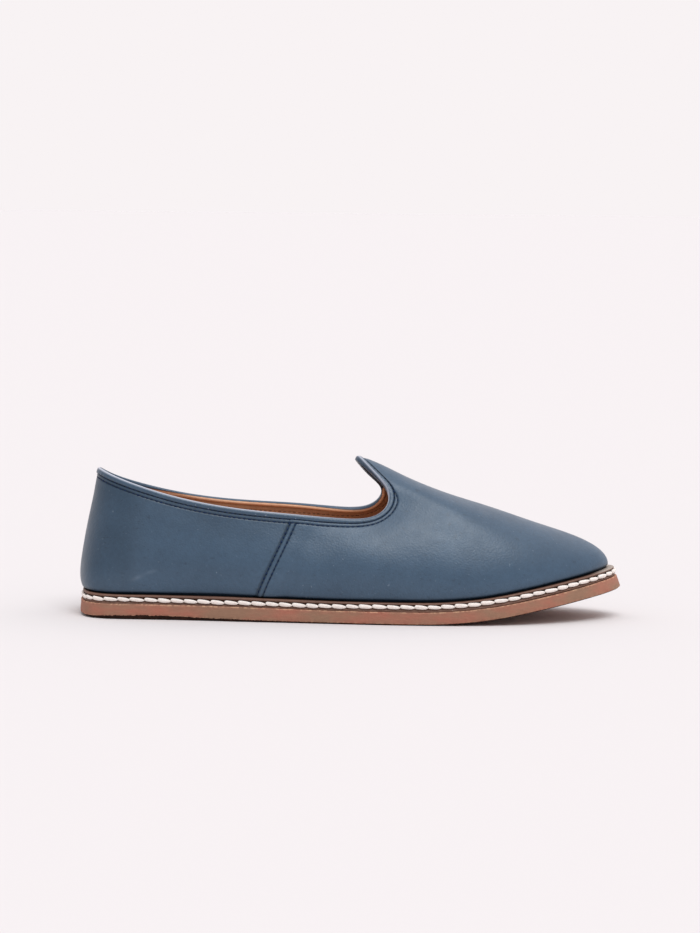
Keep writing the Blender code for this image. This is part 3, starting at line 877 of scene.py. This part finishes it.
def add_outsole(side, bevel_shadow):
    """Rubber sole: bevel in a dark finish that paints the contact shadow, tan side with a pale burr, finely
    ribbed underside.
    """
    u = loop_positions(1400)
    x = LOOP(u)[:, 0]
    rng = np.random.default_rng(5)
    bevel = np.interp(x, BEVEL_AT, BEVEL_HEIGHTS) * rng.uniform(0.88, 1.12, len(u))
    section = [(1.5, 0.0 * bevel, 0.0), (0.95, 0.1 * bevel, 0.2), (0.7, 0.5 * bevel, 0.3),
               (0.4, bevel, 0.6), (0.1, bevel + 0.2, 0.5), (0.02, bevel + 0.45, 0.2)]
    rim = np.interp(x, RIM_AT, RIM_RISES)
    section += [(0.0, 2.9, 0.2), (0.0, 3.5, 0.2), (0.02, 4.2 + 0.3 * rim, 0.2), (0.04, 4.9 + 0.7 * rim, 0.3),
                (0.02, 5.3 + rim, 0.8), (0.08, 5.6 + rim, 1.3), (0.4, 5.9 + rim, 1.2),
                (1.0, OUTSOLE_THICKNESS, 0.2)]
    tone = (0, 0, 0, 0.4, 0.6, 0.1, 0, 0, 0, 0, 0.1, 0.6, 0.8, 0.4)
    flare = TOE_FLARE * smooth_step(TOE_FLARE_FROM, LENGTH, x)
    section = [(inset - flare * (1 - height / OUTSOLE_THICKNESS), height, roughness)
               for inset, height, roughness in section]
    rungs, bevel_rings = 26, 3
    loops = edge_loops(u, section, 0.0, RUBBER_RAGGED)
    points, faces = slab(loops, rungs)
    edge_count = len(loops) * len(u)
    shade = np.zeros(len(points))
    shade[:edge_count] = np.repeat(tone, len(u))
    under = slice(edge_count, edge_count + (len(u) // 2 - 1) * (rungs - 1))
    points[under, 2] += RIB_HEIGHT * (0.5 + 0.5 * np.cos(2 * math.pi * points[under, 0] / RIB_PITCH))
    piece = add_piece("rubber_outsole", points, faces, side, "outsole", shade)
    # The bevel's rings get the dark finish: painted contact shadow
    piece.data.materials.append(bevel_shadow)
    dark = np.zeros(len(faces), np.int32)
    dark[:bevel_rings * len(u)] = 1
    piece.data.polygons.foreach_set("material_index", dark)


def add_welt(material):
    """Leather layer with a lip above and an open groove for the thick stitches; painted shade in the groove
    and on the top under the upper, painted reflection on the top at the toe.
    """
    u = loop_positions(1200)
    rise = np.interp(LOOP(u)[:, 0], ROW_AT, ROW_RISES)
    section = [(0.9, 0.0, 0.3), (0.75, 0.35, 0.5), (0.85, 0.7, 0.6), (1.5, 1.2 + rise, 0.3),
               (1.8, 2.5 + rise, 0.2), (1.35, 3.05 + 0.8 * rise, 0.4), (0.85, 3.25 + 0.6 * rise, 0.5),
               (0.66, 3.5 + 0.4 * rise, 0.6), (0.64, 3.8 + 0.2 * rise, 0.4), (0.72, 4.1, 0.6),
               (1.0, 4.32, 0.6), (1.6, MIDSOLE_THICKNESS, 0.2)]
    # Painted shade: darker in the stitch groove, and darkest on the top under the upper's foot
    tone = (0.8, 0.95, 0.95, 0.7, 0.5, 0.5, 0.65, 0.85, 0.9, 1.0, 0.8, 0.3)
    loops = edge_loops(u, section, MIDSOLE_BASE, WELT_RAGGED)
    points, faces = slab(loops, 4)
    shade = np.full(len(points), 0.15)
    shade[:len(loops) * len(u)] = np.repeat(tone, len(u))
    # At the toe the top's painted shade is lifted and a painted reflection laid on
    on_top = np.arange(len(points)) >= (len(loops) - 3) * len(u)
    tip = smooth_step(TOE_REFLECTION_FROM, TOE_REFLECTION_FULL, points[:, 0]) * on_top
    shade += (1 - shade) * tip
    add_piece("welt_midsole", points, faces, material, "midsole", shade, TOE_REFLECTION * tip)


def add_insole(material):
    """Leather sock with a softened edge."""
    u = loop_positions(400)
    room = LOOP(u)[:, 2] + WALL_THICKNESS + INSOLE_GAP
    section = ((0.0, 0.0), (0.0, 1.3), (0.2, 1.7), (0.7, 1.95), (1.6, INSOLE_THICKNESS))
    loops = [sole_point(sole_outline(u, room + inset)[0], SOLE_STACK + height) for inset, height in section]
    points, faces = slab(loops, 30)
    add_piece("leather_insole", points, faces, material, "insole")


# Materials

# Leathers: dark, light and pale colour (specks, scuffs, painted highlights and reflections) in 8-bit sRGB,
# roughness, strength of the grain
LEATHERS = {
    "slate_leather": ((51, 74, 95), (61, 85, 107), (120, 136, 152), 0.4, 1.0),
    "binding_leather": ((51, 73, 94), (60, 83, 104), (186, 190, 203), 0.36, 0.8),
    "tan_lining": ((228, 172, 136), (240, 190, 152), (246, 206, 174), 0.6, 0.7),
    "tan_insole": ((172, 118, 80), (200, 146, 104), (215, 165, 125), 0.55, 0.7),
    "welt_leather": ((104, 72, 58), (124, 90, 74), (188, 180, 170), 0.6, 0.9),
}
# Threads: light and dark colour, strands along a stitch
THREADS = {
    "navy_thread": ((26, 46, 80), (16, 32, 60), 5),
    "brown_thread": ((150, 112, 88), (110, 78, 60), 5),
    "white_thread": ((255, 248, 242), (248, 236, 228), 9),
}
# Rubber: greyish and warm patches, pale burr; painted contact shadow on the bevel: dark and dusty
RUBBER_GREYISH, RUBBER_WARM, RUBBER_BURR = (147, 113, 92), (166, 106, 88), (214, 172, 140)
BEVEL_SHADOW_DARK, BEVEL_SHADOW_DUSTY = (32, 15, 9), (56, 34, 24)


def new_material(name):
    material = bpy.data.materials.new(name)
    material.use_nodes = True
    return material, material.node_tree, material.node_tree.nodes["Principled BSDF"]


def add_node(tree, kind, **inputs):
    """New shader node with some of its inputs set."""
    node = tree.nodes.new("ShaderNode" + kind)
    for name, value in inputs.items():
        node.inputs[name].default_value = value
    return node


def set_gloss(shader, roughness, specular):
    shader.inputs["Roughness"].default_value = roughness
    shader.inputs["Specular IOR Level"].default_value = specular


def linear(colour):
    """Linear colour from 8-bit sRGB values."""
    share = np.array(colour) / 255
    low, high = share / 12.92, ((share + 0.055) / 1.055)**2.4
    return (*np.where(share <= 0.04045, low, high), 1.0)


def noise(tree, scale, detail=3.0, roughness=0.5, stretch=(1, 1, 1)):
    """Noise in object space, in cells per metre."""
    place = add_node(tree, "TexCoord")
    mapping = add_node(tree, "Mapping", Scale=stretch)
    texture = add_node(tree, "TexNoise", Scale=scale, Detail=detail, Roughness=roughness)
    tree.links.new(place.outputs["Object"], mapping.inputs["Vector"])
    tree.links.new(mapping.outputs["Vector"], texture.inputs["Vector"])
    return texture.outputs["Fac"]


def cells(tree, scale):
    place = add_node(tree, "TexCoord")
    texture = add_node(tree, "TexVoronoi", Scale=scale)
    texture.feature = "SMOOTH_F1"
    tree.links.new(place.outputs["Object"], texture.inputs["Vector"])
    return texture.outputs["Distance"]


def point_value(tree, attribute):
    """The tone (painted shade, on the rubber the burr's mask) or the share of scuffs and painted highlights
    stored with each point of a piece.
    """
    node = add_node(tree, "Attribute")
    node.attribute_name = attribute
    return node.outputs["Fac"]


def ramp(tree, value, stops):
    """Colour ramp between two stops, each a position and a colour or grey."""
    node = add_node(tree, "ValToRGB")
    for element, (position, colour) in zip(node.color_ramp.elements, stops):
        element.position = position
        element.color = colour if isinstance(colour, tuple) else (colour, colour, colour, 1.0)
    tree.links.new(value, node.inputs["Fac"])
    return node.outputs["Color"]


def mix(tree, share, first, second, mode="MIX"):
    """Mix of two colours; each is a socket or a fixed colour."""
    node = add_node(tree, "Mix")
    node.data_type = "RGBA"
    node.blend_type = mode
    for socket, value in (("Factor", share), ("A", first), ("B", second)):
        inputs = [s for s in node.inputs if s.name == socket and s.enabled]
        if isinstance(value, bpy.types.NodeSocket):
            tree.links.new(value, inputs[0])
        else:
            inputs[0].default_value = value
    return [s for s in node.outputs if s.enabled][0]


def multiply(tree, first, second):
    return mix(tree, 1.0, first, second, "MULTIPLY")


def bump(tree, shader, heights):
    """Chain of bumps from (height socket, strength, depth in metres)."""
    previous = None
    for height, strength, depth in heights:
        node = add_node(tree, "Bump", Strength=strength, Distance=depth)
        tree.links.new(height, node.inputs["Height"])
        if previous:
            tree.links.new(previous, node.inputs["Normal"])
        previous = node.outputs["Normal"]
    tree.links.new(previous, shader.inputs["Normal"])


def leather_finish(name):
    """Full-grain leather: cloudy colour, small dark marks, pale specks, painted shade, scuffs and painted
    highlights, pebbled grain, soft gloss.
    """
    dark, light, scuff_and_highlight, roughness, grain = LEATHERS[name]
    material, tree, shader = new_material(name)
    cloud = ramp(tree, noise(tree, 38, 4, 0.55), ((0.3, linear(dark)), (0.72, linear(light))))
    fine = ramp(tree, noise(tree, 500, 5, 0.7), ((0.3, 0.88), (0.7, 1.08)))
    colour = multiply(tree, cloud, fine)
    marks = ramp(tree, noise(tree, 330, 2, 0.6, (1, 1, 1.8)), ((0.64, 1), (0.71, 0.8)))
    colour = multiply(tree, colour, marks)
    specks = ramp(tree, noise(tree, 700, 2, 0.5), ((0.7, 0), (0.78, 0.45)))
    colour = mix(tree, specks, colour, linear(scuff_and_highlight))
    # Painted shade stored with the points darkens the colour; scuffs and painted highlights turn it pale
    colour = multiply(tree, colour, point_value(tree, "shade"))
    colour = mix(tree, point_value(tree, "wear_and_highlight"), colour, linear(scuff_and_highlight))
    tree.links.new(colour, shader.inputs["Base Color"])
    gloss = ramp(tree, noise(tree, 160, 3, 0.5), ((0.3, roughness - 0.04), (0.7, roughness + 0.04)))
    tree.links.new(gloss, shader.inputs["Roughness"])
    # Painted shade also dims the gloss
    sheen = ramp(tree, point_value(tree, "shade"), ((0.2, 0.08), (0.85, 0.5)))
    tree.links.new(sheen, shader.inputs["Specular IOR Level"])
    pebble = cells(tree, 1150)
    pores = noise(tree, 2600, 3, 0.6)
    bump(tree, shader, ((pebble, 0.3 * grain, 0.00025), (pores, 0.25 * grain, 0.00015)))
    return material


def rubber_finish():
    """Tan rubber: warm and greyish patches, a pale ragged burr, fine scratches, matt."""
    material, tree, shader = new_material("tan_rubber")
    patches = ramp(tree, noise(tree, 50, 3, 0.5, (1, 1, 3)),
                   ((0.35, linear(RUBBER_GREYISH)), (0.65, linear(RUBBER_WARM))))
    streaks = ramp(tree, noise(tree, 300, 4, 0.6, (1, 1, 4)), ((0.3, 0.92), (0.7, 1.06)))
    colour = multiply(tree, patches, streaks)
    ticks = ramp(tree, noise(tree, 620, 2, 0.5, (1, 1, 0.4)), ((0.45, 0), (0.62, 0.8)))
    burr = multiply(tree, ticks, point_value(tree, "shade"))
    colour = mix(tree, burr, colour, linear(RUBBER_BURR))
    tree.links.new(colour, shader.inputs["Base Color"])
    set_gloss(shader, 0.72, 0.3)
    bump(tree, shader, ((noise(tree, 700, 4, 0.65, (1, 1, 3)), 0.4, 0.0003),
                        (noise(tree, 2400, 2, 0.5), 0.25, 0.0001)))
    return material


def bevel_shadow_finish():
    """Dark brown, dusty and matt finish of the bevel under the rubber's edge: painted contact shadow."""
    material, tree, shader = new_material("painted_bevel_shadow")
    dust = ramp(tree, noise(tree, 180, 4, 0.6), ((0.35, linear(BEVEL_SHADOW_DARK)), (0.75, linear(BEVEL_SHADOW_DUSTY))))
    tree.links.new(dust, shader.inputs["Base Color"])
    set_gloss(shader, 0.85, 0.2)
    bump(tree, shader, ((noise(tree, 900, 4, 0.6), 0.4, 0.0003),))
    return material


def thread_finish(name):
    """Waxed thread: strands wound around the stitch."""
    light, dark, strands = THREADS[name]
    material, tree, shader = new_material(name)
    place = add_node(tree, "TexCoord")
    mapping = add_node(tree, "Mapping", Rotation=(0, 0, math.radians(24)), Scale=(strands, strands, 1))
    wave = add_node(tree, "TexWave", Scale=1.0, Distortion=1.2)
    tree.links.new(place.outputs["UV"], mapping.inputs["Vector"])
    tree.links.new(mapping.outputs["Vector"], wave.inputs["Vector"])
    tone = ramp(tree, noise(tree, 500, 3, 0.6), ((0.3, linear(dark)), (0.65, linear(light))))
    tree.links.new(tone, shader.inputs["Base Color"])
    set_gloss(shader, 0.6, 0.15)
    bump(tree, shader, ((wave.outputs["Fac"], 0.5, 0.0002), (noise(tree, 3000, 2, 0.5), 0.3, 0.0001)))
    return material


# Stage, light and camera

# Camera lengths in millimetres, places in the picture in pixels
FOCAL_PIXELS = 3288.0
FRAME_PIXELS = (700, 933)
SENSOR = 36.0
CAMERA_DISTANCE = 1600.0
CAMERA_ELEVATION = math.radians(6.0)
CAMERA_ROLL = math.radians(0.6)
LOOK_AT = np.array([131.0, 0.0, 35.0])
LOOK_AT_PIXEL = (350.5, 542.5)
# A pale room: colour, bright side behind the shoe, and where along it the strength rises from dark to bright
ROOM_COLOUR = (0.94, 0.895, 0.904, 1)
ROOM_BRIGHT_SIDE = (0.42, 0.82, 0.38)
ROOM_FROM, ROOM_TO, ROOM_DARK, ROOM_BRIGHT = -0.5, 0.75, 0.66, 1.0
# Floor: colour, and half its side in metres
FLOOR_COLOUR = (0.695, 0.667, 0.67, 1)
FLOOR_REACH = 40.0
# Two large soft sources overhead: name, direction that the light comes from, power, spread in degrees
LIGHT_COLOUR = (0.95, 0.985, 1.0)
LIGHTS = (("key", (0.14, -0.45, 0.885), 1.76, 38), ("top", (0.3, 0.35, 0.88), 0.28, 60))


def add_camera():
    """Camera at the photograph's angle: slightly above the lateral side, rolled a little."""
    target = Vector((LOOK_AT - ORIGIN) * MM)
    sight = Vector((0, math.cos(CAMERA_ELEVATION), -math.sin(CAMERA_ELEVATION)))
    place = target - sight * CAMERA_DISTANCE * MM
    off_x = LOOK_AT_PIXEL[0] - FRAME_PIXELS[0] / 2
    off_y = LOOK_AT_PIXEL[1] - FRAME_PIXELS[1] / 2
    turn = math.atan2(off_x * math.cos(CAMERA_ROLL) + off_y * math.sin(CAMERA_ROLL), FOCAL_PIXELS)
    drop = math.atan2(off_y * math.cos(CAMERA_ROLL) - off_x * math.sin(CAMERA_ROLL), FOCAL_PIXELS)
    pitch = CAMERA_ELEVATION - drop
    level = Matrix.Rotation(turn, 4, "Z") @ Matrix.Rotation(math.pi / 2 - pitch, 4, "X")
    data = bpy.data.cameras.new("camera")
    data.sensor_width = SENSOR
    data.lens = FOCAL_PIXELS / max(FRAME_PIXELS) * SENSOR
    data.clip_end = 100
    camera = bpy.data.objects.new("camera", data)
    camera.matrix_world = Matrix.Translation(place) @ level @ Matrix.Rotation(CAMERA_ROLL, 4, "Z")
    bpy.context.scene.collection.objects.link(camera)
    bpy.context.scene.camera = camera


def add_floor():
    """Plain pale floor out to the horizon."""
    material, _, shader = new_material("pale_floor")
    shader.inputs["Base Color"].default_value = FLOOR_COLOUR
    set_gloss(shader, 0.9, 0.0)
    mesh = bpy.data.meshes.new("floor")
    signs = ((-1, -1), (1, -1), (1, 1), (-1, 1))
    mesh.from_pydata([(x * FLOOR_REACH, y * FLOOR_REACH, 0) for x, y in signs], [], [(0, 1, 2, 3)])
    mesh.materials.append(material)
    floor = bpy.data.objects.new("floor", mesh)
    bpy.context.scene.collection.objects.link(floor)


def add_light():
    world = bpy.data.worlds.new("studio")
    world.use_nodes = True
    tree = world.node_tree
    background = tree.nodes["Background"]
    background.inputs["Color"].default_value = ROOM_COLOUR
    place = add_node(tree, "TexCoord")
    side = add_node(tree, "VectorMath")
    side.operation = "DOT_PRODUCT"
    side.inputs[1].default_value = ROOM_BRIGHT_SIDE
    ends = {"From Min": ROOM_FROM, "From Max": ROOM_TO, "To Min": ROOM_DARK, "To Max": ROOM_BRIGHT}
    strength = add_node(tree, "MapRange", **ends)
    strength.interpolation_type = "SMOOTHSTEP"
    tree.links.new(place.outputs["Generated"], side.inputs[0])
    tree.links.new(side.outputs["Value"], strength.inputs["Value"])
    tree.links.new(strength.outputs["Result"], background.inputs["Strength"])
    bpy.context.scene.world = world
    for name, direction, power, spread in LIGHTS:
        data = bpy.data.lights.new(name, "SUN")
        data.energy = power
        data.color = LIGHT_COLOUR
        data.angle = math.radians(spread)
        light = bpy.data.objects.new(name, data)
        light.rotation_euler = Vector(direction).to_track_quat("Z", "Y").to_euler()
        bpy.context.scene.collection.objects.link(light)
    bpy.context.scene.view_settings.view_transform = "Standard"


def main():
    blue, navy = leather_finish("slate_leather"), thread_finish("navy_thread")
    add_quarter(blue)
    add_vamp(blue)
    add_lining(leather_finish("tan_lining"))
    add_binding(leather_finish("binding_leather"))
    add_threads("collar_stitches", collar_stitch_runs(), navy)
    add_threads("seam_stitches", seam_stitch_runs(), navy)
    add_threads("lining_stitches", lining_stitch_runs(), thread_finish("brown_thread"))
    add_outsole(rubber_finish(), bevel_shadow_finish())
    add_welt(leather_finish("welt_leather"))
    add_insole(leather_finish("tan_insole"))
    add_welt_stitches(thread_finish("white_thread"))
    add_floor()
    add_light()
    add_camera()


main()
